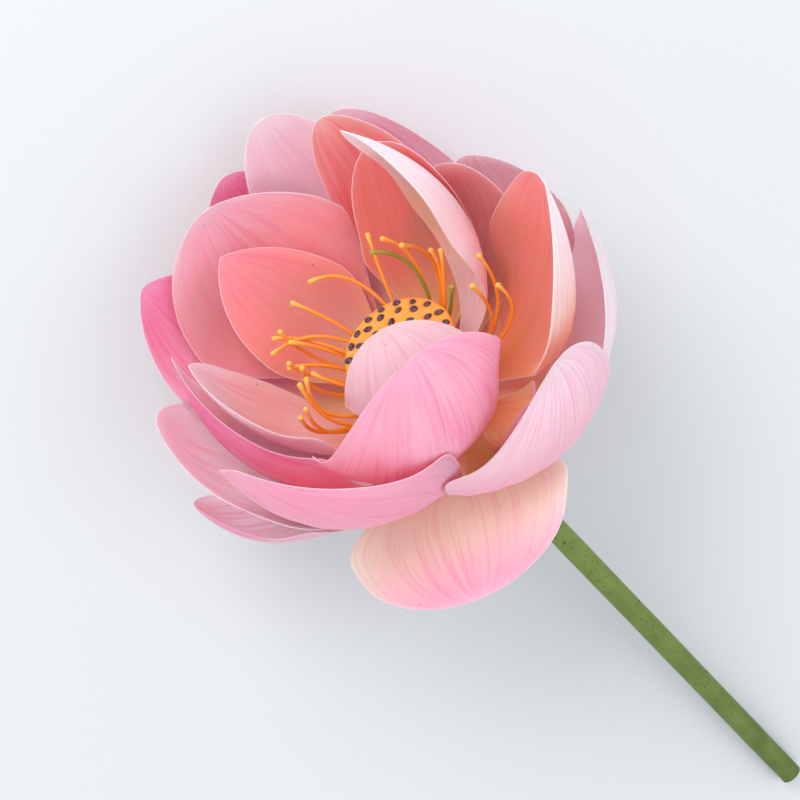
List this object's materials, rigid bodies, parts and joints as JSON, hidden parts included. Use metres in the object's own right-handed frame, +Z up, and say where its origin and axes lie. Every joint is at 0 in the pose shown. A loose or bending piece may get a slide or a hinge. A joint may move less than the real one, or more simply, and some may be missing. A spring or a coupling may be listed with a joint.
{
  "type": "lotus flower",
  "caption": "Open pink lotus bloom lying on its back, with a cup of overlapping petals round a domed orange seed receptacle and curling stamens, on a short cut green stem.",
  "frame": {"origin": "on the surface that the flower lies on, under the middle of its extent", "axes": "+Z up from the surface; +Y from the stem's cut end towards the bloom; +X to the right of that, seen from above"},
  "size_m": [0.1666, 0.3132, 0.1268],
  "materials": {
    "inner_petal": "satin petal tissue, salmon pink with fine veins",
    "outer_petal": "satin petal tissue, pale pink with magenta veins",
    "receptacle_flesh": "waxy orange-yellow flesh with dark carpels",
    "stamen": "waxy orange filament and knob",
    "stem_skin": "matt green skin with dark speckles"
  },
  "bodies": {
    "root": {"stem": "stem_skin", "receptacle": "receptacle_flesh", "stamen_1": "stamen", "stamen_2": "stamen", "stamen_3": "stamen", "stamen_4": "stamen", "stamen_5": "stamen", "stamen_6": "stamen", "stamen_7": "stamen", "stamen_8": "stamen", "stamen_9": "stamen", "stamen_10": "stamen", "stamen_11": "stamen", "stamen_12": "stamen", "stamen_13": "stamen", "stamen_14": "stamen", "stamen_15": "stamen", "stamen_16": "stamen", "stamen_17": "stamen", "stamen_18": "stamen", "stamen_19": "stamen", "stamen_20": "stamen", "stamen_21": "stamen", "stamen_22": "stamen", "stamen_23": "stamen", "stamen_24": "stamen", "inner_petal_1": "inner_petal", "inner_petal_2": "inner_petal", "inner_petal_3": "inner_petal", "inner_petal_4": "inner_petal", "inner_petal_5": "inner_petal", "inner_petal_6": "inner_petal", "middle_petal_1": "inner_petal", "middle_petal_2": "inner_petal", "middle_petal_3": "inner_petal", "middle_petal_4": "inner_petal", "middle_petal_5": "inner_petal", "middle_petal_6": "inner_petal", "outer_petal_1": "outer_petal", "outer_petal_2": "outer_petal", "outer_petal_3": "outer_petal", "outer_petal_4": "outer_petal", "outer_petal_5": "outer_petal", "outer_petal_6": "outer_petal", "outer_petal_7": "outer_petal", "outer_petal_8": "outer_petal", "guard_petal_1": "outer_petal", "guard_petal_2": "outer_petal", "guard_petal_3": "outer_petal"}
  },
  "joints": []
}
